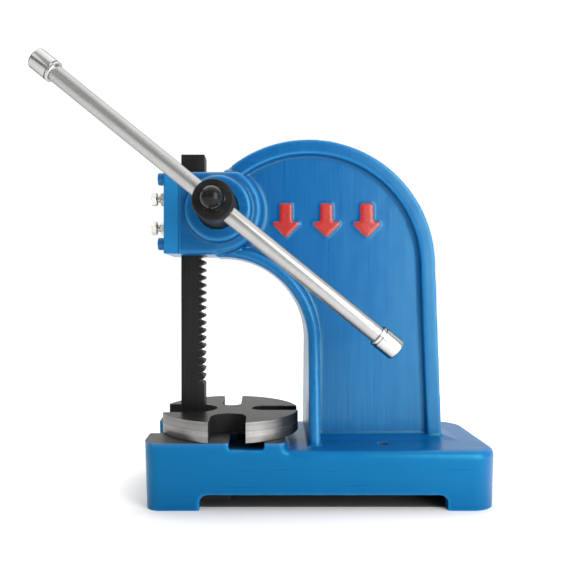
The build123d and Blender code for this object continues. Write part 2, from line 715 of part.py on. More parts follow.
def gib_adjuster(z):
    head_end = ADJUSTER_OUTER_X + ADJUSTER_HEAD_HEIGHT
    gib_x = -RAM_WIDTH / 2 - RUNNING_CLEARANCE - GIB_THICKNESS
    body = hexagon_bar(ADJUSTER_OUTER_X, head_end, ADJUSTER_HEAD_TURN)
    body += bar_along("X", M6_RADIUS, head_end - SMALL_CHAMFER, gib_x)
    return Pos(0, 0, z) * body


def gib_lock_nut(z):
    body = hexagon_bar(COVER_LEFT_X - LOCK_NUT_HEIGHT, COVER_LEFT_X, LOCK_NUT_TURN)
    body -= bar_along("X", M6_RADIUS + THREAD_CLEARANCE, ADJUSTER_OUTER_X, HEAD_LEFT_X)
    return Pos(0, 0, z) * body


save("frame_casting", frame_casting())
save("anvil_plate", anvil_plate())
save("anvil_pivot_pin", anvil_pivot_pin())
save("ram", ram())
save("pinion_shaft", pinion_shaft())
save("pinion_retaining_screw", pinion_retaining_screw())
save("lever_bar", lever_bar())
save("lever_cap_1", lever_cap(-1))
save("lever_cap_2", lever_cap(1))
save("clamp_nut", clamp_nut())
save("clamp_stud", clamp_stud())
save("cover_plate", cover_plate())
save("gib_strip", gib_strip())
for number, (place_y, place_z) in enumerate(cap_screw_places(), start=1):
    save(f"cover_screw_{number}", cover_screw(place_y, place_z))
for number, place_z in enumerate(ADJUSTER_Z, start=1):
    save(f"gib_adjuster_{number}", gib_adjuster(place_z))
    save(f"gib_lock_nut_{number}", gib_lock_nut(place_z))
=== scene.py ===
import math

import bmesh
import bpy
from mathutils import Matrix, Vector, noise


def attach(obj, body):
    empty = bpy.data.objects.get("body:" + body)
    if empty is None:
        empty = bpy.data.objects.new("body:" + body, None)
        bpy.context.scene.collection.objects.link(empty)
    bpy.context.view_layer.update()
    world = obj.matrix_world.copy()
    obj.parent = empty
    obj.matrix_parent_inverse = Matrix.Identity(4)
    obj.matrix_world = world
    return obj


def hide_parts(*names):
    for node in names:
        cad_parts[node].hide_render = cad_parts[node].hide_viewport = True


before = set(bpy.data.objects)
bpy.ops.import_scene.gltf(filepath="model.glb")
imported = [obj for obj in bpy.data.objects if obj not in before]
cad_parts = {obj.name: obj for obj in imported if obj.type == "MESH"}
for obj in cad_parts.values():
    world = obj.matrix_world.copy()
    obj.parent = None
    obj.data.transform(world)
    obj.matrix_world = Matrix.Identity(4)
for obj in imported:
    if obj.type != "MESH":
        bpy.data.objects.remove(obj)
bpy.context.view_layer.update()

# ============================================================ frame casting
# The base, column and head are one grey-iron sand casting. It is brushed all over with blue enamel,
# which rounds every cast edge, and the pad, the bores and the ram's channel are machined afterwards.
MM = 0.001
CAST_SKIN_VOXEL = 1.15 * MM
CAST_SKIN_KEPT = 0.42
CAST_WAVE = 0.11 * MM
CAST_WAVE_SCALE = 95.0
CAST_WAVE_SEED = 3.0
CREASE_DEGREES = 40
MACHINING_ALLOWANCE = 1.6 * MM
FLAT = 0.01 * MM

PAD_TOP = 50.5 * MM
PAD_END = 74.3 * MM
RAM_HALF = 9.525 * MM
RAM_CLEARANCE = 0.2 * MM
PINION_X = 21.925 * MM
PINION_Z = 228.0 * MM
BORE_RADIUS = 16.15 * MM
BORE_HALF_LENGTH = 32.0 * MM
BENCH_HOLE_X = 151.3 * MM
BENCH_HOLE_Y = 29.0 * MM
BENCH_HOLE_EDGE = 4.0 * MM
BENCH_HOLE_TOP = 44.0 * MM
HOLLOW_X = (31.0 * MM, 224.5 * MM)
HOLLOW_HALF = 43.5 * MM
HOLLOW_ROOF = 33.5 * MM
FOOT_GAP_X = (6.0 * MM, 200.0 * MM)
FOOT_GAP_HALF = 45.0 * MM
FOOT_GAP_ROOF = 11.3 * MM

BASE_SHOULDER_Z = 48.0 * MM
BASE_FADE_Z = (52.0 * MM, 46.0 * MM)
COLUMN_FADE_Z = (170.0 * MM, 60.0 * MM)
HEAD_X = 56.0 * MM
HEAD_Z = 190.0 * MM
CHANNEL_X = (31.5 * MM, 57.8 * MM)
CHANNEL_Z = (45.0 * MM, 50.3 * MM)
CHANNEL_SHADE_Y = (-53.5 * MM, -43.0 * MM)
ARROW_ZONE_X = (60 * MM, 158 * MM)
ARROW_ZONE_Z = (204 * MM, 238 * MM)
ARROW_PAINT_Y = -9.45 * MM
ARROW_PAINT_WANDER = 1.1 * MM

UPRIGHT_BRUSH = (620, 620, 13)
LEVEL_BRUSH = (11, 420, 520)
ENAMEL_THICK = (0.0, 0.063, 0.215, 1)
ENAMEL_THIN = (0.0, 0.077, 0.250, 1)
ENAMEL_BRUSH_MARK = (0.010, 0.185, 0.38, 1)
PAINTED_SHADE_IN_HOLLOWS = (0.0, 0.032, 0.13, 1)
THIN_ENAMEL_AND_HIGHLIGHT_ON_EDGES = (0.02, 0.27, 0.60, 1)
SHEEN_ON_COLUMN = (0.45, 0.97, 0.84, 1)
SHEEN_ON_BASE = (0.14, 0.97, 0.84, 1)
PAINTED_SHADE_BLACK = (0.004, 0.005, 0.007, 1)
RED_DEEP = (0.27, 0.006, 0.008, 1)
RED_BRIGHT = (0.46, 0.018, 0.016, 1)
IRON_DARK = (0.085, 0.083, 0.078, 1)
IRON_LIGHT = (0.17, 0.167, 0.16, 1)
MILLED_EDGE_TINT = (0.65, 0.65, 0.64, 1)
PRIMER_DARK = (0.010, 0.010, 0.011, 1)
PRIMER_LIGHT = (0.035, 0.034, 0.033, 1)


def link(name, mesh):
    piece = bpy.data.objects.new(name, mesh)
    bpy.context.scene.collection.objects.link(piece)
    return piece


def baked(piece):
    """Turns a piece and its modifiers into a plain mesh under the same name."""
    bpy.context.view_layer.update()
    evaluated = piece.evaluated_get(bpy.context.evaluated_depsgraph_get())
    mesh = bpy.data.meshes.new_from_object(evaluated)
    piece.modifiers.clear()
    piece.data = mesh
    return piece


def smooth_with_creases(mesh, degrees=32):
    mesh.polygons.foreach_set("use_smooth", [True] * len(mesh.polygons))
    mesh.set_sharp_from_angle(angle=math.radians(degrees))


def merged_copy(node, name):
    """A CAD node's mesh with its loose triangles joined up, as a new piece."""
    bm = bmesh.new()
    bm.from_mesh(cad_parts[node].data)
    bmesh.ops.remove_doubles(bm, verts=bm.verts, dist=FLAT / 5)
    mesh = bpy.data.meshes.new(name)
    plain = bmesh.new()
    new_verts = [plain.verts.new(v.co) for v in bm.verts]
    for face in bm.faces:
        plain.faces.new([new_verts[v.index] for v in face.verts])
    plain.to_mesh(mesh)
    bm.free()
    plain.free()
    return link(name, mesh)


def cylinder_between(start, end, radius, sides=96):
    """A closed round cutter or bar between two points."""
    axis = Vector(end) - Vector(start)
    bm = bmesh.new()
    bmesh.ops.create_cone(
        bm, cap_ends=True, segments=sides, radius1=radius, radius2=radius, depth=axis.length
    )
    turn = axis.to_track_quat("Z", "Y").to_matrix().to_4x4()
    bm.transform(Matrix.Translation((Vector(start) + Vector(end)) / 2) @ turn)
    return bm


def block_between(low, high):
    size = Vector(high) - Vector(low)
    bm = bmesh.new()
    bmesh.ops.create_cube(bm, size=1.0)
    bm.transform(Matrix.Translation((Vector(low) + Vector(high)) / 2) @ Matrix.Diagonal((*size, 1.0)))
    return bm


def machined(piece, cutter_bm):
    """Cuts a closed shape out of a piece, as a mill or a drill would."""
    mesh = bpy.data.meshes.new("cutter")
    cutter_bm.to_mesh(mesh)
    cutter_bm.free()
    cutter = link("cutter", mesh)
    cut = piece.modifiers.new("cut", "BOOLEAN")
    cut.operation = "DIFFERENCE"
    cut.solver = "EXACT"
    cut.object = cutter
    baked(piece)
    bpy.data.objects.remove(cutter)
    return piece


def material_and_shader(name):
    material = bpy.data.materials.new(name)
    material.use_nodes = True
    tree = material.node_tree
    shader = tree.nodes["Principled BSDF"]
    return material, tree, shader


def node(tree, kind, settings=None, **inputs):
    """Adds one node. Keyword inputs are sockets by name, with spaces as underscores: a value or a link."""
    made = tree.nodes.new(kind)
    for key, value in (settings or {}).items():
        setattr(made, key, value)
    for key, value in inputs.items():
        socket = made.inputs[key.replace("_", " ")]
        if isinstance(value, bpy.types.NodeSocket):
            tree.links.new(value, socket)
        else:
            socket.default_value = value
    return made


def object_place(tree, stretch=(1, 1, 1), shift=(0, 0, 0), turn=(0, 0, 0)):
    """Object coordinates in metres, stretched so that a pattern runs out along the short direction."""
    coords = node(tree, "ShaderNodeTexCoord").outputs["Object"]
    return node(
        tree, "ShaderNodeMapping", Vector=coords, Scale=stretch, Location=shift, Rotation=turn
    ).outputs["Vector"]


def noise_of(tree, place, scale, detail=3.0, roughness=0.5):
    return node(
        tree, "ShaderNodeTexNoise", Vector=place, Scale=scale, Detail=detail, Roughness=roughness
    ).outputs["Fac"]


def remap(tree, value, low, high, to_low, to_high):
    return node(
        tree, "ShaderNodeMapRange", Value=value,
        From_Min=low, From_Max=high, To_Min=to_low, To_Max=to_high,
    ).outputs["Result"]


def calc(tree, operation, a, b=0.0):
    made = tree.nodes.new("ShaderNodeMath")
    made.operation = operation
    for socket, value in zip(made.inputs, (a, b)):
        if isinstance(value, bpy.types.NodeSocket):
            tree.links.new(value, socket)
        else:
            socket.default_value = value
    return made.outputs[0]


def blend_colours(tree, factor, colour_a, colour_b):
    made = tree.nodes.new("ShaderNodeMix")
    made.data_type = "RGBA"
    for index, value in ((0, factor), (6, colour_a), (7, colour_b)):
        socket = made.inputs[index]
        if isinstance(value, bpy.types.NodeSocket):
            tree.links.new(value, socket)
        else:
            socket.default_value = value
    return made.outputs[2]


def relief(tree, shader, height, distance, strength=1.0, under=None):
    """Surface relief of a real depth in metres, on top of an earlier one if there is one."""
    bump = node(tree, "ShaderNodeBump", Height=height, Distance=distance, Strength=strength)
    if under is not None:
        tree.links.new(under, bump.inputs["Normal"])
    tree.links.new(bump.outputs["Normal"], shader.inputs["Normal"])
    return bump.outputs["Normal"]


def parts_of_place(tree):
    """X, Y and Z of the object coordinates."""
    coords = node(tree, "ShaderNodeTexCoord").outputs["Object"]
    split = node(tree, "ShaderNodeSeparateXYZ", Vector=coords)
    return split.outputs["X"], split.outputs["Y"], split.outputs["Z"]


def between(tree, value, low, high):
    above = calc(tree, "GREATER_THAN", value, low)
    below = calc(tree, "LESS_THAN", value, high)
    return calc(tree, "MULTIPLY", above, below)


def blue_enamel():
    """Brushed blue gloss enamel: streaks down the column and along the base, red on the raised arrows."""
    material, tree, shader = material_and_shader("blue_enamel")
    x, y, z = parts_of_place(tree)
    upright = noise_of(tree, object_place(tree, stretch=UPRIGHT_BRUSH), 1.0, 3.0, 0.65)
    level = noise_of(tree, object_place(tree, stretch=LEVEL_BRUSH), 1.0, 3.0, 0.6)
    on_base = calc(tree, "LESS_THAN", z, BASE_SHOULDER_Z)
    left_of_web = calc(tree, "LESS_THAN", x, HEAD_X)
    on_head = calc(tree, "MULTIPLY", left_of_web, calc(tree, "GREATER_THAN", z, HEAD_Z))
    streaks = blend_colours(tree, calc(tree, "MAXIMUM", on_base, on_head), upright, level)
    peel = noise_of(tree, object_place(tree), 420.0, 2.0, 0.5)
    cloud = noise_of(tree, object_place(tree), 14.0, 2.0, 0.5)
    on_column = remap(tree, z, *COLUMN_FADE_Z, 0.25, 1.0)
    heavy = calc(tree, "MULTIPLY", on_column, remap(tree, z, *BASE_FADE_Z, 1.0, 0.15))

    streak_share = calc(tree, "MULTIPLY", remap(tree, streaks, 0.38, 0.72, 0.0, 0.34), heavy)
    blue = blend_colours(tree, cloud, ENAMEL_THICK, ENAMEL_THIN)
    blue = blend_colours(tree, streak_share, blue, ENAMEL_BRUSH_MARK)
    # Concave hollows and coves are mixed towards a darker blue: painted shade.
    bend = node(tree, "ShaderNodeNewGeometry").outputs["Pointiness"]
    blue = blend_colours(tree, remap(tree, bend, 0.497, 0.474, 0.0, 0.75), blue, PAINTED_SHADE_IN_HOLLOWS)
    # Convex edges are mixed towards a lighter blue: thin enamel there, and a painted highlight.
    blue = blend_colours(tree, remap(tree, bend, 0.506, 0.54, 0.0, 0.40), blue, THIN_ENAMEL_AND_HIGHLIGHT_ON_EDGES)

    # The channel in the pad under the anvil is painted black towards its back and loses its gloss there:
    # painted shade.
    in_channel = calc(tree, "MULTIPLY", between(tree, x, *CHANNEL_X), between(tree, z, *CHANNEL_Z))
    channel_shade = calc(tree, "MULTIPLY", in_channel, remap(tree, y, *CHANNEL_SHADE_Y, 0.25, 0.97))
    blue = blend_colours(tree, channel_shade, blue, PAINTED_SHADE_BLACK)

    in_zone = calc(tree, "MULTIPLY", between(tree, x, *ARROW_ZONE_X), between(tree, z, *ARROW_ZONE_Z))
    ragged = calc(tree, "SUBTRACT", noise_of(tree, object_place(tree), 260.0, 3.0, 0.6), 0.5)
    proud = calc(tree, "ADD", y, calc(tree, "MULTIPLY", ragged, ARROW_PAINT_WANDER))
    red_here = calc(tree, "MULTIPLY", in_zone, calc(tree, "LESS_THAN", proud, ARROW_PAINT_Y))
    fleck = remap(tree, noise_of(tree, object_place(tree), 700.0, 2.0, 0.6), 0.35, 0.75, 0.0, 1.0)
    red = blend_colours(tree, fleck, RED_DEEP, RED_BRIGHT)
    tree.links.new(blend_colours(tree, red_here, blue, red), shader.inputs["Base Color"])
    tree.links.new(remap(tree, streaks, 0.3, 0.75, 0.27, 0.40), shader.inputs["Roughness"])
    tree.links.new(remap(tree, channel_shade, 0.0, 0.9, 0.56, 0.04), shader.inputs["Specular IOR Level"])
    sheen = blend_colours(tree, on_base, SHEEN_ON_COLUMN, SHEEN_ON_BASE)
    tree.links.new(sheen, shader.inputs["Specular Tint"])
    brushed = calc(tree, "MULTIPLY", streaks, remap(tree, heavy, 0.15, 0.25, 0.12, 0.45))
    under = relief(tree, shader, brushed, 0.16 * MM, 0.6)
    relief(tree, shader, peel, 0.05 * MM, 0.6, under)
    return material


def milled_iron():
    """Bare grey iron under a face mill: faint overlapping arcs and a thin film of oil."""
    material, tree, shader = material_and_shader("milled_iron")
    sweep = noise_of(tree, object_place(tree, stretch=(900, 60, 60)), 1.0, 3.0, 0.6)
    stain = noise_of(tree, object_place(tree), 55.0, 4.0, 0.6)
    grey = blend_colours(tree, stain, IRON_DARK, IRON_LIGHT)
    tree.links.new(grey, shader.inputs["Base Color"])
    shader.inputs["Metallic"].default_value = 0.85
    shader.inputs["Specular Tint"].default_value = MILLED_EDGE_TINT
    tree.links.new(remap(tree, sweep, 0.3, 0.7, 0.38, 0.55), shader.inputs["Roughness"])
    relief(tree, shader, sweep, 0.02 * MM, 0.5)
    return material


def black_primer_and_shade():
    """The unmachined inside of the base: rough sand-cast skin under a thin black primer. The same black is
    laid on the bench holes' walls and on what shows through the foot gap, as painted shade.
    """
    material, tree, shader = material_and_shader("black_primer_and_shade")
    grain = noise_of(tree, object_place(tree), 900.0, 3.0, 0.7)
    tree.links.new(blend_colours(tree, grain, PRIMER_DARK, PRIMER_LIGHT), shader.inputs["Base Color"])
    shader.inputs["Roughness"].default_value = 0.8
    relief(tree, shader, grain, 0.25 * MM, 0.7)
    return material


def wave_surface(mesh, depth, scale, seed):
    """Moves every vertex along its normal by a soft noise, as a cast and painted skin is never quite true."""
    offset = Vector((seed, seed * 1.7, seed * 2.3))
    normals = [v.normal.copy() for v in mesh.vertices]
    for vertex, normal in zip(mesh.vertices, normals):
        vertex.co += normal * depth * noise.noise(vertex.co * scale + offset)


def cast_frame():
    """Cast oversize on the pad and under the feet, skinned with enamel, and then machined."""
    piece = merged_copy("frame_casting", "cast_frame")
    for vertex in piece.data.vertices:
        if abs(vertex.co.z - PAD_TOP) < FLAT and vertex.co.x < PAD_END + MM:
            vertex.co.z += MACHINING_ALLOWANCE
        if vertex.co.z < FLAT:
            vertex.co.z -= MACHINING_ALLOWANCE
    skin = piece.modifiers.new("skin", "REMESH")
    skin.mode = "VOXEL"
    skin.voxel_size = CAST_SKIN_VOXEL
    soften = piece.modifiers.new("soften", "SMOOTH")
    soften.factor = 0.5
    soften.iterations = 3
    baked(piece)
    wave_surface(piece.data, CAST_WAVE, CAST_WAVE_SCALE, CAST_WAVE_SEED)
    thin = piece.modifiers.new("thin", "DECIMATE")
    thin.ratio = CAST_SKIN_KEPT
    baked(piece)

    machined(piece, block_between((-0.05, -0.07, PAD_TOP), (PAD_END, 0.07, PAD_TOP + 0.006)))
    machined(piece, block_between((-0.05, -0.07, -0.006), (0.25, 0.07, 0.0)))
    channel = RAM_HALF + RAM_CLEARANCE
    machined(piece, block_between((-0.03, -channel, 0.185), (channel, channel, 0.27)))
    bore = cylinder_between((PINION_X, -0.04, PINION_Z), (PINION_X, 0.04, PINION_Z), BORE_RADIUS)
    machined(piece, bore)
    return piece


def share_out_casting_faces(piece):
    """Enamel everywhere but on the milled pad and in the bored holes; black primer inside the base and under
    the feet, and the same black as painted shade in the bench holes and behind the foot gap.
    """
    for material in (blue_enamel(), milled_iron(), black_primer_and_shade()):
        piece.data.materials.append(material)
    for face in piece.data.polygons:
        x, y, z = face.center
        milled = abs(z - PAD_TOP) < 5 * FLAT and face.normal.z > 0.99 and x < PAD_END
        bored = math.hypot(x - PINION_X, z - PINION_Z) < BORE_RADIUS + 10 * FLAT and abs(y) < BORE_HALF_LENGTH
        under_feet = z < 5 * FLAT
        inside = HOLLOW_X[0] < x < HOLLOW_X[1] and abs(y) < HOLLOW_HALF and z < HOLLOW_ROOF
        behind_gap = FOOT_GAP_X[0] < x < FOOT_GAP_X[1] and abs(y) < FOOT_GAP_HALF and z < FOOT_GAP_ROOF
        drilled = math.hypot(x - BENCH_HOLE_X, abs(y) - BENCH_HOLE_Y) < BENCH_HOLE_EDGE
        drilled = drilled and z < BENCH_HOLE_TOP and face.normal.z < 0.8
        face.material_index = 0
        if milled or bored:
            face.material_index = 1
        # In the bench holes and behind the foot gap this black is painted shade.
        elif inside or behind_gap or drilled or under_feet:
            face.material_index = 2


casting = cast_frame()
share_out_casting_faces(casting)
smooth_with_creases(casting.data, CREASE_DEGREES)
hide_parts("frame_casting")
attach(casting, "frame")
ENAMEL = casting.data.materials[0]


def finish_node(name, material):
    """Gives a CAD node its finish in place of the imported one."""
    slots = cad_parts[name].material_slots
    for slot in slots:
        slot.link = "OBJECT"
        slot.material = material


# ============================================================ anvil plate and its pin
# A round iron plate, faced and turned in a lathe, with four slots of different widths milled into it.
# It lies on the pad and turns on a ground steel pin pressed into the base.
ANVIL_X = 30.3 * MM
ANVIL_RADIUS = 56.2 * MM
ANVIL_TOP = 66.5 * MM
ANVIL_RIM_LIP = 0.55 * MM
ANVIL_TOP_LIP = 0.45 * MM
RIM_DARK = (0.21, 0.207, 0.20, 1)
RIM_LIGHT = (0.30, 0.296, 0.288, 1)
TOP_FACE_SHADED_DARK = (0.070, 0.069, 0.067, 1)
TOP_FACE_SHADED_LIGHT = (0.125, 0.123, 0.120, 1)
RING_GREY = (0.09, 0.088, 0.085, 1)
SLOT_DARK = (0.004, 0.004, 0.004, 1)
SLOT_LIGHT = (0.030, 0.029, 0.028, 1)
TURNED_EDGE_TINT = (0.60, 0.60, 0.59, 1)
STEEL_DARK = (0.42, 0.42, 0.41, 1)
STEEL_LIGHT = (0.55, 0.55, 0.54, 1)


def turned_iron():
    """Turned grey iron: rings on the face, fine lines round the rim, and dark rough slot walls."""
    material, tree, shader = material_and_shader("turned_iron")
    x, y, z = parts_of_place(tree)
    dx = calc(tree, "SUBTRACT", x, ANVIL_X)
    squares = calc(tree, "ADD", calc(tree, "MULTIPLY", dx, dx), calc(tree, "MULTIPLY", y, y))
    radius = calc(tree, "SQRT", squares)
    ring_place = node(tree, "ShaderNodeCombineXYZ", X=radius, Y=z, Z=0.0).outputs[0]
    rings = node(tree, "ShaderNodeTexNoise", Vector=ring_place, Scale=1500.0, Detail=3.0).outputs["Fac"]
    broad = node(tree, "ShaderNodeTexNoise", Vector=ring_place, Scale=260.0, Detail=2.0).outputs["Fac"]
    grain = noise_of(tree, object_place(tree), 1100.0, 3.0, 0.7)
    stain = noise_of(tree, object_place(tree), 60.0, 3.0, 0.6)

    inside_rim = calc(tree, "LESS_THAN", radius, ANVIL_RADIUS - ANVIL_RIM_LIP)
    under_top = calc(tree, "LESS_THAN", z, ANVIL_TOP - ANVIL_TOP_LIP)
    slot_wall = calc(tree, "MULTIPLY", inside_rim, under_top)

    # The top face is painted much darker than the rim of the same turned iron: a painted reflection of the
    # dark head and column above it.
    on_top = calc(tree, "GREATER_THAN", z, ANVIL_TOP - 10 * FLAT)
    rim_tone = blend_colours(tree, stain, RIM_DARK, RIM_LIGHT)
    shaded_top_tone = blend_colours(tree, stain, TOP_FACE_SHADED_DARK, TOP_FACE_SHADED_LIGHT)
    bright = blend_colours(tree, on_top, rim_tone, shaded_top_tone)
    bright = blend_colours(tree, remap(tree, broad, 0.35, 0.7, 0.0, 0.5), bright, RING_GREY)
    dark = blend_colours(tree, grain, SLOT_DARK, SLOT_LIGHT)
    tree.links.new(blend_colours(tree, slot_wall, bright, dark), shader.inputs["Base Color"])
    metallic = calc(tree, "SUBTRACT", 0.92, calc(tree, "MULTIPLY", slot_wall, 0.5))
    tree.links.new(metallic, shader.inputs["Metallic"])
    shader.inputs["Specular Tint"].default_value = TURNED_EDGE_TINT
    smooth = remap(tree, rings, 0.3, 0.7, 0.24, 0.38)
    roughness = calc(tree, "MAXIMUM", smooth, calc(tree, "MULTIPLY", slot_wall, 0.65))
    tree.links.new(roughness, shader.inputs["Roughness"])
    under = relief(tree, shader, rings, 0.06 * MM, 0.9)
    rough = calc(tree, "MULTIPLY", grain, slot_wall)
    relief(tree, shader, rough, 0.4 * MM, 0.8, under)
    return material


def ground_steel():
    """Ground steel: clean, with hair-fine grinding lines."""
    material, tree, shader = material_and_shader("ground_steel")
    lines = noise_of(tree, object_place(tree, stretch=(60, 60, 2600)), 1.0, 2.0, 0.5)
    tree.links.new(blend_colours(tree, lines, STEEL_DARK, STEEL_LIGHT), shader.inputs["Base Color"])
    shader.inputs["Metallic"].default_value = 1.0
    tree.links.new(remap(tree, lines, 0.3, 0.7, 0.22, 0.36), shader.inputs["Roughness"])
    relief(tree, shader, lines, 0.01 * MM, 0.5)
    return material


finish_node("anvil_plate", turned_iron())
GROUND_STEEL = ground_steel()
finish_node("anvil_pivot_pin", GROUND_STEEL)

# ============================================================ pinion shaft and its retaining screw
# One steel shaft with the pinion teeth cut in it, hardened and blackened. Its hub carries the lever.
# A dog-point screw under the head, painted over, runs in a groove and keeps the shaft from sliding out.
OXIDE_DARK = (0.004, 0.004, 0.0045, 1)
OXIDE_LIGHT = (0.011, 0.0105, 0.010, 1)
OXIDE_TOOL_MARK = (0.045, 0.044, 0.042, 1)
MARKS_ROUND_SHAFT = (90, 1400, 90)
MARKS_ALONG_RAM = (1100, 1100, 16)


def black_oxide(name, streak):
    """Black oxide on machined steel: near black, satin, with the tool marks showing along one direction."""
    material, tree, shader = material_and_shader(name)
    lines = noise_of(tree, object_place(tree, stretch=streak), 1.0, 3.0, 0.6)
    bloom = noise_of(tree, object_place(tree), 40.0, 4.0, 0.6)
    tone = blend_colours(tree, bloom, OXIDE_DARK, OXIDE_LIGHT)
    tone = blend_colours(tree, remap(tree, lines, 0.5, 0.8, 0.0, 0.25), tone, OXIDE_TOOL_MARK)
    tree.links.new(tone, shader.inputs["Base Color"])
    shader.inputs["Metallic"].default_value = 0.2
    shader.inputs["Specular IOR Level"].default_value = 0.2
    tree.links.new(remap(tree, lines, 0.3, 0.75, 0.46, 0.60), shader.inputs["Roughness"])
    relief(tree, shader, lines, 0.025 * MM, 0.6)
    return material


BLACK_TURNED = black_oxide("black_oxide_turned", MARKS_ROUND_SHAFT)
finish_node("pinion_shaft", BLACK_TURNED)
finish_node("pinion_retaining_screw", ENAMEL)

# ============================================================ ram
# A square bar of blackened steel with rack teeth milled across its right-hand face.
# It slides in the head's channel and its plain foot does the pressing.
RAM_BOTTOM = 67.0 * MM
RAM_TOP = 275.0 * MM
RAM_EDGE = 0.6 * MM
TOOTH_MODULE = 2.0 * MM
TOOTH_PITCH = math.pi * TOOTH_MODULE
TOOTH_ADDENDUM = 1.6 * MM
TOOTH_DEDENDUM = 2.5 * MM
FLANK_SLOPE = math.tan(math.radians(20))
TOOTH_EDGE = 0.22 * MM
TOOTH_INSET = 0.02 * MM
TOOTH_SUNK = 0.8 * MM
GAPS_BELOW_PINION = 22
GAPS_ABOVE_PINION = 3
TOOTH_COUNT = GAPS_BELOW_PINION + GAPS_ABOVE_PINION
FIRST_GAP_Z = PINION_Z - GAPS_BELOW_PINION * TOOTH_PITCH
LAST_GAP_Z = PINION_Z + GAPS_ABOVE_PINION * TOOTH_PITCH


def bevelled_prism(name, outline, half_width, edge, steps=2):
    """A bar with the given outline in X and Z, as wide as stated in Y, with its sharp edges broken."""
    bm = bmesh.new()
    front = [bm.verts.new((x, -half_width, z)) for x, z in outline]
    bm.faces.new(front)
    made = bmesh.ops.extrude_face_region(bm, geom=bm.faces[:])
    back = [item for item in made["geom"] if isinstance(item, bmesh.types.BMVert)]
    bmesh.ops.translate(bm, verts=back, vec=(0, 2 * half_width, 0))
    bmesh.ops.recalc_face_normals(bm, faces=bm.faces)
    sharp = [e for e in bm.edges if e.calc_face_angle(0) > math.radians(15)]
    bmesh.ops.bevel(bm, geom=sharp, offset=edge, segments=steps, profile=0.6, affect="EDGES")
    mesh = bpy.data.meshes.new(name)
    bm.to_mesh(mesh)
    bm.free()
    return link(name, mesh)


def row_tree(name, inputs):
    """An empty Geometry Nodes tree with a geometry in and out and the named inputs."""
    tree = bpy.data.node_groups.new(name, "GeometryNodeTree")
    tree.interface.new_socket("Geometry", in_out="INPUT", socket_type="NodeSocketGeometry")
    for label, kind in inputs:
        tree.interface.new_socket(label, in_out="INPUT", socket_type=f"NodeSocket{kind}")
    tree.interface.new_socket("Geometry", in_out="OUTPUT", socket_type="NodeSocketGeometry")
    given = tree.nodes.new("NodeGroupInput").outputs
    return tree, given, tree.nodes.new("NodeGroupOutput")


def finish_tree(tree, given, result, shapes):
    """Joins the shapes, makes them real and gives them their finish."""
    joined = node(tree, "GeometryNodeJoinGeometry")
    for shape in shapes:
        tree.links.new(shape, joined.inputs["Geometry"])
    real = node(tree, "GeometryNodeRealizeInstances", Geometry=joined.outputs[0])
    done = node(tree, "GeometryNodeSetMaterial", Geometry=real.outputs[0], Material=given["Finish"])
    tree.links.new(done.outputs[0], result.inputs["Geometry"])


def copies_in_a_row():
    """Copies of a template on evenly spaced points, each turned a little more than the last."""
    inputs = (
        ("Template", "Object"), ("Count", "Int"), ("First", "Vector"), ("Step", "Vector"),
        ("Turn", "Vector"), ("Finish", "Material"),
    )
    tree, given, result = row_tree("copies in a row", inputs)
    points = node(
        tree, "GeometryNodeMeshLine",
        Count=given["Count"], Start_Location=given["First"], Offset=given["Step"],
    ).outputs["Mesh"]
    template = node(tree, "GeometryNodeObjectInfo", Object=given["Template"]).outputs["Geometry"]
    turned = node(tree, "ShaderNodeVectorMath", {"operation": "SCALE"}, Vector=given["Turn"])
    tree.links.new(node(tree, "GeometryNodeInputIndex").outputs[0], turned.inputs["Scale"])
    placed = node(
        tree, "GeometryNodeInstanceOnPoints",
        Points=points, Instance=template, Rotation=turned.outputs["Vector"],
    ).outputs["Instances"]
    finish_tree(tree, given, result, (given["Geometry"], placed))
    return tree


def grown(piece, tree, values):
    """Runs a tree on a piece with its inputs set by identifier, and keeps the result as a plain mesh."""
    grow = piece.modifiers.new("grow", "NODES")
    grow.node_group = tree
    for item in tree.interface.items_tree:
        if item.in_out == "INPUT" and item.name in values:
            grow[item.identifier] = values[item.name]
    return baked(piece)


def drop(template):
    """Takes a template away once its copies are made."""
    bpy.data.objects.remove(template)


ROW = copies_in_a_row()
BLACK_DRAWN = black_oxide("black_oxide_drawn", MARKS_ALONG_RAM)


def ram_with_teeth():
    """The bar is relieved along the rack, and the teeth stand on that relieved face."""
    root_x = RAM_HALF - TOOTH_ADDENDUM - TOOTH_DEDENDUM
    half_gap = TOOTH_PITCH / 4 - TOOTH_DEDENDUM * FLANK_SLOPE
    flank = (TOOTH_ADDENDUM + TOOTH_DEDENDUM) * FLANK_SLOPE
    bar = bevelled_prism(
        "ram_with_rack",
        (
            (-RAM_HALF, RAM_BOTTOM), (RAM_HALF, RAM_BOTTOM), (RAM_HALF, FIRST_GAP_Z - half_gap - flank),
            (root_x, FIRST_GAP_Z - half_gap), (root_x, LAST_GAP_Z + half_gap),
            (RAM_HALF, LAST_GAP_Z + half_gap + flank), (RAM_HALF, RAM_TOP), (-RAM_HALF, RAM_TOP),
        ),
        RAM_HALF, RAM_EDGE,
    )
    half_root = TOOTH_PITCH / 2 - half_gap
    half_crest = half_root - flank
    sunk = root_x - TOOTH_SUNK
    tooth = bevelled_prism(
        "tooth", ((sunk, -half_root), (root_x, -half_root), (RAM_HALF, -half_crest), (RAM_HALF, half_crest),
                  (root_x, half_root), (sunk, half_root)),
        RAM_HALF - TOOTH_INSET, TOOTH_EDGE,
    )
    grown(bar, ROW, {
        "Template": tooth, "Count": TOOTH_COUNT, "First": (0, 0, FIRST_GAP_Z + TOOTH_PITCH / 2),
        "Step": (0, 0, TOOTH_PITCH), "Turn": (0, 0, 0), "Finish": BLACK_DRAWN,
    })
    drop(tooth)
    return bar


ram = ram_with_teeth()
smooth_with_creases(ram.data, degrees=24)
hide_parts("ram")
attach(ram, "ram_body")

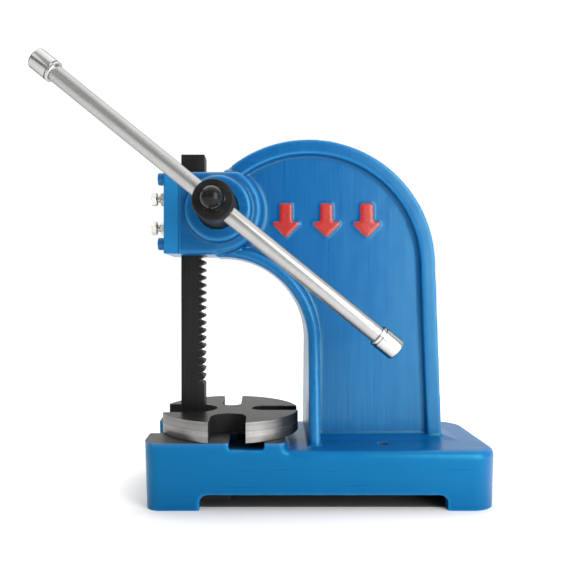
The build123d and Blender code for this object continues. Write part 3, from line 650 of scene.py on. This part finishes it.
# ============================================================ gib strip and cover plate
# The cover plate closes the ram's channel and is enamelled with the frame.
# The ground gib strip behind it is pushed against the ram by two adjusting screws.
finish_node("cover_plate", ENAMEL)
finish_node("gib_strip", GROUND_STEEL)

# ============================================================ cover screws
# Four M6 socket cap screws hold the cover plate. They were painted over with the frame,
# so the enamel rounds their rims and half fills their sockets.
COVER_SCREW_Y = 20.0 * MM
COVER_SCREW_LOW_Z = 201.0 * MM
COVER_SCREW_RISE = 51.7 * MM
COVER_SCREW_TURN = 0.7
PAINT_VOXEL = 0.32 * MM


def centred_copy(node_name, name, y, z):
    """A joined-up copy of a CAD fastener with its own axis moved to the X axis."""
    piece = merged_copy(node_name, name)
    piece.data.transform(Matrix.Translation((0, -y, -z)))
    return piece


def painted_screws():
    """One screw under a film of enamel, set four times, the upper screw of each pair with its socket turned
    against the lower one.
    """
    screw = centred_copy("cover_screw_1", "screw", -COVER_SCREW_Y, COVER_SCREW_LOW_Z)
    film = screw.modifiers.new("film", "REMESH")
    film.mode = "VOXEL"
    film.voxel_size = PAINT_VOXEL
    soften = screw.modifiers.new("soften", "SMOOTH")
    soften.factor = 0.5
    soften.iterations = 6
    baked(screw)
    piece = link("cover_screws", bpy.data.meshes.new("cover_screws"))
    for y in (-COVER_SCREW_Y, COVER_SCREW_Y):
        grown(piece, ROW, {
            "Template": screw, "Count": 2, "First": (0, y, COVER_SCREW_LOW_Z),
            "Step": (0, 0, COVER_SCREW_RISE), "Turn": (COVER_SCREW_TURN, 0, 0), "Finish": ENAMEL,
        })
    drop(screw)
    return piece


cover_screws = painted_screws()
smooth_with_creases(cover_screws.data, degrees=60)
for number in range(1, 5):
    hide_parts(f"cover_screw_{number}")
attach(cover_screws, "frame")

# ============================================================ gib adjusters and lock nuts
# Two M6 hexagon-head screws with a rolled thread, bright zinc plated, bear on the gib strip.
# Each is locked with a hexagon nut against the cover plate.
ADJUSTER_LOW_Z = 215.5 * MM
ADJUSTER_RISE = 24.1 * MM
ADJUSTER_HEAD_END = -30.6 * MM
ADJUSTER_TIP = -12.7 * MM
THREAD_PITCH = 1.0 * MM
THREAD_CREST = 3.0 * MM
THREAD_ROUND = 0.36 * MM
THREAD_ROOT = 2.5 * MM
THREAD_RUN_OUT = 0.5 * MM
HEAD_MARGIN = 0.7 * MM
ADJUSTER_TURN = 0.3
LOCK_NUT_TURN = -0.25
ZINC_DARK = (0.55, 0.53, 0.47, 1)
ZINC_LIGHT = (0.74, 0.73, 0.68, 1)
PLATED_EDGE_TINT = (0.3, 0.3, 0.3, 1)


def bright_zinc():
    """Bright zinc plate with a faint cloudy bloom."""
    material, tree, shader = material_and_shader("bright_zinc")
    bloom = noise_of(tree, object_place(tree), 500.0, 3.0, 0.6)
    tree.links.new(blend_colours(tree, bloom, ZINC_DARK, ZINC_LIGHT), shader.inputs["Base Color"])
    shader.inputs["Metallic"].default_value = 1.0
    shader.inputs["Specular Tint"].default_value = PLATED_EDGE_TINT
    tree.links.new(remap(tree, bloom, 0.3, 0.7, 0.24, 0.4), shader.inputs["Roughness"])
    relief(tree, shader, bloom, 0.02 * MM, 0.5)
    return material


def thread_tree():
    """A helical thread ridge round the X axis, joined to the incoming screw."""
    inputs = (
        ("Start X", "Float"), ("Length", "Float"), ("Pitch", "Float"), ("Ridge Radius", "Float"),
        ("Crest Radius", "Float"), ("Finish", "Material"),
    )
    tree, given, result = row_tree("rolled thread", inputs)
    middle = calc(tree, "SUBTRACT", given["Crest Radius"], given["Ridge Radius"])
    turns = calc(tree, "DIVIDE", given["Length"], given["Pitch"])
    helix = node(
        tree, "GeometryNodeCurveSpiral", Resolution=28, Rotations=turns, Start_Radius=middle,
        End_Radius=middle, Height=given["Length"],
    ).outputs["Curve"]
    ridge = node(tree, "GeometryNodeCurvePrimitiveCircle", Resolution=8, Radius=given["Ridge Radius"])
    wound = node(
        tree, "GeometryNodeCurveToMesh", Curve=helix, Profile_Curve=ridge.outputs["Curve"], Fill_Caps=True
    ).outputs["Mesh"]
    start = node(tree, "ShaderNodeCombineXYZ", X=given["Start X"]).outputs[0]
    laid = node(
        tree, "GeometryNodeTransform", Geometry=wound, Translation=start, Rotation=(0, math.radians(90), 0)
    ).outputs["Geometry"]
    finish_tree(tree, given, result, (given["Geometry"], laid))
    return tree


BRIGHT_ZINC = bright_zinc()


def threaded_adjuster():
    """The shank is brought down to the thread's root and the ridge is wound on it."""
    screw = centred_copy("gib_adjuster_1", "screw", 0, ADJUSTER_LOW_Z)
    for vertex in screw.data.vertices:
        radius = math.hypot(vertex.co.y, vertex.co.z)
        if vertex.co.x > ADJUSTER_HEAD_END - HEAD_MARGIN and abs(radius - THREAD_CREST) < 2 * FLAT:
            vertex.co.y *= THREAD_ROOT / THREAD_CREST
            vertex.co.z *= THREAD_ROOT / THREAD_CREST
    grown(screw, thread_tree(), {
        "Start X": ADJUSTER_HEAD_END, "Length": ADJUSTER_TIP - ADJUSTER_HEAD_END - THREAD_RUN_OUT,
        "Pitch": THREAD_PITCH, "Ridge Radius": THREAD_ROUND, "Crest Radius": THREAD_CREST,
        "Finish": BRIGHT_ZINC,
    })
    return screw


def pair_of(template, name, turn):
    """A lower and an upper copy, the upper one turned on its axis."""
    piece = link(name, bpy.data.meshes.new(name))
    grown(piece, ROW, {
        "Template": template, "Count": 2, "First": (0, 0, ADJUSTER_LOW_Z), "Step": (0, 0, ADJUSTER_RISE),
        "Turn": (turn, 0, 0), "Finish": BRIGHT_ZINC,
    })
    drop(template)
    smooth_with_creases(piece.data, degrees=30)
    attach(piece, "frame")
    return piece


adjusters = pair_of(threaded_adjuster(), "gib_adjusters", ADJUSTER_TURN)
lock_nut = centred_copy("gib_lock_nut_1", "nut", 0, ADJUSTER_LOW_Z)
lock_nuts = pair_of(lock_nut, "gib_lock_nuts", LOCK_NUT_TURN)
for number in (1, 2):
    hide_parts(f"gib_adjuster_{number}")
    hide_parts(f"gib_lock_nut_{number}")

# ============================================================ lever bar and caps
# A half-inch round bar, drawn and satin zinc plated, slides through the hub's cross hole.
# A turned and bright plated cap is pressed on each end so that it can't slide out.
LEVER_ANGLE = math.radians(39.07)
LEVER_Y = -64.0 * MM
LEVER_LENGTH = 337.4 * MM
LEVER_OFFSET = 1.7 * MM
BAR_RADIUS = 6.35 * MM
BAR_CHAMFER = 0.8 * MM
CAP_RADIUS = 8.25 * MM
CAP_LENGTH = 18.0 * MM
CAP_BORE = 14.0 * MM
CAP_END_ROUND = 1.5 * MM
CAP_LIP = 0.6 * MM
CAP_GROOVE = (2.0 * MM, 3.0 * MM)
CAP_GROOVE_RADIUS = 7.1 * MM
LINES_ALONG_BAR = (10, 1500, 1500)
RINGS_ROUND_CAP = (1800, 20, 20)
SATIN_DARK = (0.36, 0.357, 0.352, 1)
SATIN_LIGHT = (0.45, 0.447, 0.442, 1)
SATIN_LINE = (0.62, 0.62, 0.61, 1)
PLATE_DARK = (0.44, 0.436, 0.425, 1)
PLATE_LIGHT = (0.60, 0.595, 0.58, 1)
LEVER_PLACE = (
    Matrix.Translation((PINION_X, LEVER_Y, PINION_Z)) @ Matrix.Rotation(math.pi / 2 + LEVER_ANGLE, 4, "Y")
)


def turned(name, profile, place, sides=96):
    """A turned piece: rings at each (height, radius) of the profile, closed where the radius is nothing."""
    bm = bmesh.new()
    rings = []
    for height, radius in profile:
        count = sides if radius > 0 else 1
        angles = [2 * math.pi * i / sides for i in range(count)]
        rings.append([bm.verts.new((radius * math.cos(a), radius * math.sin(a), height)) for a in angles])
    for lower, upper in zip(rings, rings[1:]):
        for i in range(sides):
            corners = [lower[i % len(lower)], lower[(i + 1) % len(lower)],
                       upper[(i + 1) % len(upper)], upper[i % len(upper)]]
            bm.faces.new(list(dict.fromkeys(corners)))
    bm.transform(place)
    bmesh.ops.recalc_face_normals(bm, faces=bm.faces)
    mesh = bpy.data.meshes.new(name)
    bm.to_mesh(mesh)
    bm.free()
    return link(name, mesh)


def lever_bar():
    """A chamfered rod that ends inside both caps."""
    half = LEVER_LENGTH / 2 - (CAP_LENGTH - CAP_BORE)
    low, high = LEVER_OFFSET - half, LEVER_OFFSET + half
    profile = (
        (low, 0), (low, BAR_RADIUS - BAR_CHAMFER), (low + BAR_CHAMFER, BAR_RADIUS),
        (high - BAR_CHAMFER, BAR_RADIUS), (high, BAR_RADIUS - BAR_CHAMFER), (high, 0),
    )
    return turned("lever_rod", profile, LEVER_PLACE)


def lever_cap(name, side):
    """Bored from the inner end, with a groove near that end and a rounded outer end."""
    centre = CAP_LENGTH - CAP_END_ROUND
    corner = [
        (centre + CAP_END_ROUND * math.sin(a), CAP_RADIUS - CAP_END_ROUND * (1 - math.cos(a)))
        for a in (math.radians(15 * step) for step in range(7))
    ]
    profile = [
        (CAP_BORE, 0), (CAP_BORE, BAR_RADIUS), (0, BAR_RADIUS), (0, CAP_RADIUS - CAP_LIP),
        (CAP_LIP, CAP_RADIUS),
        (CAP_GROOVE[0], CAP_RADIUS), (CAP_GROOVE[0], CAP_GROOVE_RADIUS), (CAP_GROOVE[1], CAP_GROOVE_RADIUS),
        (CAP_GROOVE[1], CAP_RADIUS), *corner, (CAP_LENGTH, 0),
    ]
    start = LEVER_OFFSET + side * (LEVER_LENGTH / 2 - CAP_LENGTH)
    facing = Matrix.Rotation(0 if side > 0 else math.pi, 4, "X")
    return turned(name, profile, LEVER_PLACE @ Matrix.Translation((0, 0, start)) @ facing)


def place_along_lever(tree, stretch):
    """Object coordinates turned so that X runs along the slanting lever, and then stretched."""
    coords = node(tree, "ShaderNodeTexCoord").outputs["Object"]
    along = node(tree, "ShaderNodeMapping", Vector=coords, Rotation=(0, -LEVER_ANGLE, 0)).outputs["Vector"]
    return node(tree, "ShaderNodeMapping", Vector=along, Scale=stretch).outputs["Vector"]


def satin_zinc():
    """Satin zinc with drawing lines along the bar."""
    material, tree, shader = material_and_shader("satin_zinc")
    lines = noise_of(tree, place_along_lever(tree, LINES_ALONG_BAR), 1.0, 3.0, 0.6)
    mottle = noise_of(tree, object_place(tree), 90.0, 4.0, 0.65)
    tone = blend_colours(tree, mottle, SATIN_DARK, SATIN_LIGHT)
    tone = blend_colours(tree, remap(tree, lines, 0.5, 0.8, 0.0, 0.25), tone, SATIN_LINE)
    tree.links.new(tone, shader.inputs["Base Color"])
    shader.inputs["Metallic"].default_value = 0.95
    shader.inputs["Specular Tint"].default_value = PLATED_EDGE_TINT
    tree.links.new(remap(tree, lines, 0.3, 0.7, 0.30, 0.42), shader.inputs["Roughness"])
    return material


def bright_plate():
    """Bright plating over fine turning rings."""
    material, tree, shader = material_and_shader("bright_plate")
    rings = noise_of(tree, place_along_lever(tree, RINGS_ROUND_CAP), 1.0, 2.0, 0.5)
    tree.links.new(blend_colours(tree, rings, PLATE_DARK, PLATE_LIGHT), shader.inputs["Base Color"])
    shader.inputs["Metallic"].default_value = 1.0
    shader.inputs["Specular Tint"].default_value = PLATED_EDGE_TINT
    tree.links.new(remap(tree, rings, 0.3, 0.7, 0.16, 0.28), shader.inputs["Roughness"])
    return material


rod = lever_bar()
rod.data.materials.append(satin_zinc())
smooth_with_creases(rod.data, degrees=30)
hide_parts("lever_bar")
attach(rod, "lever")

BRIGHT_PLATE = bright_plate()
for number, side in ((1, -1), (2, 1)):
    cap = lever_cap(f"lever_end_{number}", side)
    cap.data.materials.append(BRIGHT_PLATE)
    smooth_with_creases(cap.data, degrees=30)
    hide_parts(f"lever_cap_{number}")
    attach(cap, "lever")

# ============================================================ clamp stud and domed nut
# A blackened stud screws into the hub's end and grips the bar.
# The domed nut that locks it is enamelled gloss black.
GLOSS_DARK = (0.004, 0.004, 0.005, 1)
GLOSS_LIGHT = (0.010, 0.010, 0.011, 1)


def black_gloss():
    """Gloss black with a slight orange peel."""
    material, tree, shader = material_and_shader("black_gloss")
    peel = noise_of(tree, object_place(tree), 600.0, 2.0, 0.5)
    tree.links.new(blend_colours(tree, peel, GLOSS_DARK, GLOSS_LIGHT), shader.inputs["Base Color"])
    shader.inputs["Roughness"].default_value = 0.22
    shader.inputs["Specular IOR Level"].default_value = 0.16
    relief(tree, shader, peel, 0.03 * MM, 0.4)
    return material


finish_node("clamp_nut", black_gloss())
finish_node("clamp_stud", BLACK_TURNED)

# ============================================================ studio
# A pale floor that glows softly away from the press, three soft boxes, a world that is dim on the camera's
# side, and a level camera in front of the press.
CAMERA_AT = (56.5 * MM, -499 * MM, 166 * MM)
FOCAL_LENGTH_MM = 37.5
SENSOR_WIDTH_MM = 36.0
AXIS_SHIFT = 0.045
FLOOR_HALF = 6.0
FLOOR_DARK = (0.90, 0.90, 0.90, 1)
FLOOR_LIGHT = (0.93, 0.93, 0.93, 1)
FLOOR_IN_SHADE = (0.50, 0.46, 0.42, 1)
FLOOR_SHADOW_UNDER_BASE = (0.10, 0.10, 0.10, 1)
FLOOR_GLOW = 0.32
BASE_CENTRE_X = 101.0 * MM
BASE_HALF_LENGTH = 134.0 * MM
BASE_HALF_WIDTH = 54.0 * MM
SHADE_REACH = 50.0 * MM
GLOW_REACH = 80.0 * MM
UNDER_BASE_X = (-20.0 * MM, 222.0 * MM)
UNDER_BASE_Y = (-44.0 * MM, 44.0 * MM)
SOFT_BOXES = (
    ("key_box", (0.57, -0.56, 0.34), (0.18, 0, 0.13), (0.50, 0.70), 7.6),
    ("fill_box", (-0.55, -0.80, 0.75), (0.02, 0, 0.20), (0.4, 0.4), 0.6),
    ("top_box", (0.05, 0.15, 1.3), (0.05, 0, 0.1), (2.0, 1.8), 8),
)


def studio_floor():
    bm = bmesh.new()
    bmesh.ops.create_grid(bm, x_segments=1, y_segments=1, size=FLOOR_HALF)
    mesh = bpy.data.meshes.new("studio_floor")
    bm.to_mesh(mesh)
    bm.free()
    floor = link("studio_floor", mesh)
    material, tree, shader = material_and_shader("pale_floor")
    pale = blend_colours(tree, noise_of(tree, object_place(tree), 3.0, 2.0, 0.5), FLOOR_DARK, FLOOR_LIGHT)

    x, y, _ = parts_of_place(tree)
    from_centre = calc(tree, "ABSOLUTE", calc(tree, "SUBTRACT", x, BASE_CENTRE_X))
    past_end = calc(tree, "SUBTRACT", from_centre, BASE_HALF_LENGTH)
    past_side = calc(tree, "SUBTRACT", calc(tree, "ABSOLUTE", y), BASE_HALF_WIDTH)
    from_base = calc(tree, "MAXIMUM", calc(tree, "MAXIMUM", past_end, past_side), 0.0)
    pale = blend_colours(tree, remap(tree, from_base, 0.0, SHADE_REACH, 0.34, 0.0), pale, FLOOR_IN_SHADE)
    # Under the base the floor is painted near black: a painted shadow.
    under = calc(tree, "MULTIPLY", between(tree, x, *UNDER_BASE_X), between(tree, y, *UNDER_BASE_Y))
    tree.links.new(blend_colours(tree, under, pale, FLOOR_SHADOW_UNDER_BASE), shader.inputs["Base Color"])
    glow = remap(tree, from_base, 0.0, GLOW_REACH, 0.0, FLOOR_GLOW)
    tree.links.new(glow, shader.inputs["Emission Strength"])
    shader.inputs["Emission Color"].default_value = (1, 1, 1, 1)
    shader.inputs["Roughness"].default_value = 0.6
    shader.inputs["Specular IOR Level"].default_value = 0.2
    floor.data.materials.append(material)


def soft_box(name, place, target, size, watts):
    data = bpy.data.lights.new(name, "AREA")
    data.shape = "RECTANGLE"
    data.size, data.size_y = size
    data.energy = watts
    lamp = bpy.data.objects.new(name, data)
    lamp.location = place
    lamp.rotation_euler = (Vector(target) - Vector(place)).to_track_quat("-Z", "Y").to_euler()
    bpy.context.scene.collection.objects.link(lamp)


def studio_world():
    """Bright above and behind the press and dim on the camera's side, as in a tent lit from the back."""
    world = bpy.data.worlds.new("studio")
    bpy.context.scene.world = world
    world.use_nodes = True
    tree = world.node_tree
    background = tree.nodes["Background"]
    direction = node(tree, "ShaderNodeTexCoord").outputs["Generated"]
    split = node(tree, "ShaderNodeSeparateXYZ", Vector=direction)
    behind = remap(tree, split.outputs["Y"], -0.25, 0.45, 0.16, 1.0)
    above = remap(tree, split.outputs["Z"], 0.25, 0.95, 0.0, 0.65)
    seen = node(tree, "ShaderNodeLightPath").outputs["Is Camera Ray"]
    tree.links.new(
        calc(tree, "MAXIMUM", calc(tree, "ADD", behind, above), seen), background.inputs["Strength"]
    )
    background.inputs["Color"].default_value = (1, 1, 1, 1)


studio_floor()
studio_world()
for box in SOFT_BOXES:
    soft_box(*box)

camera_data = bpy.data.cameras.new("camera")
camera_data.lens = FOCAL_LENGTH_MM
camera_data.sensor_width = SENSOR_WIDTH_MM
camera_data.shift_x = AXIS_SHIFT
camera = bpy.data.objects.new("camera", camera_data)
camera.location = CAMERA_AT
camera.rotation_euler = (math.radians(90), 0, 0)
bpy.context.scene.collection.objects.link(camera)
bpy.context.scene.camera = camera
bpy.context.scene.view_settings.view_transform = "Standard"
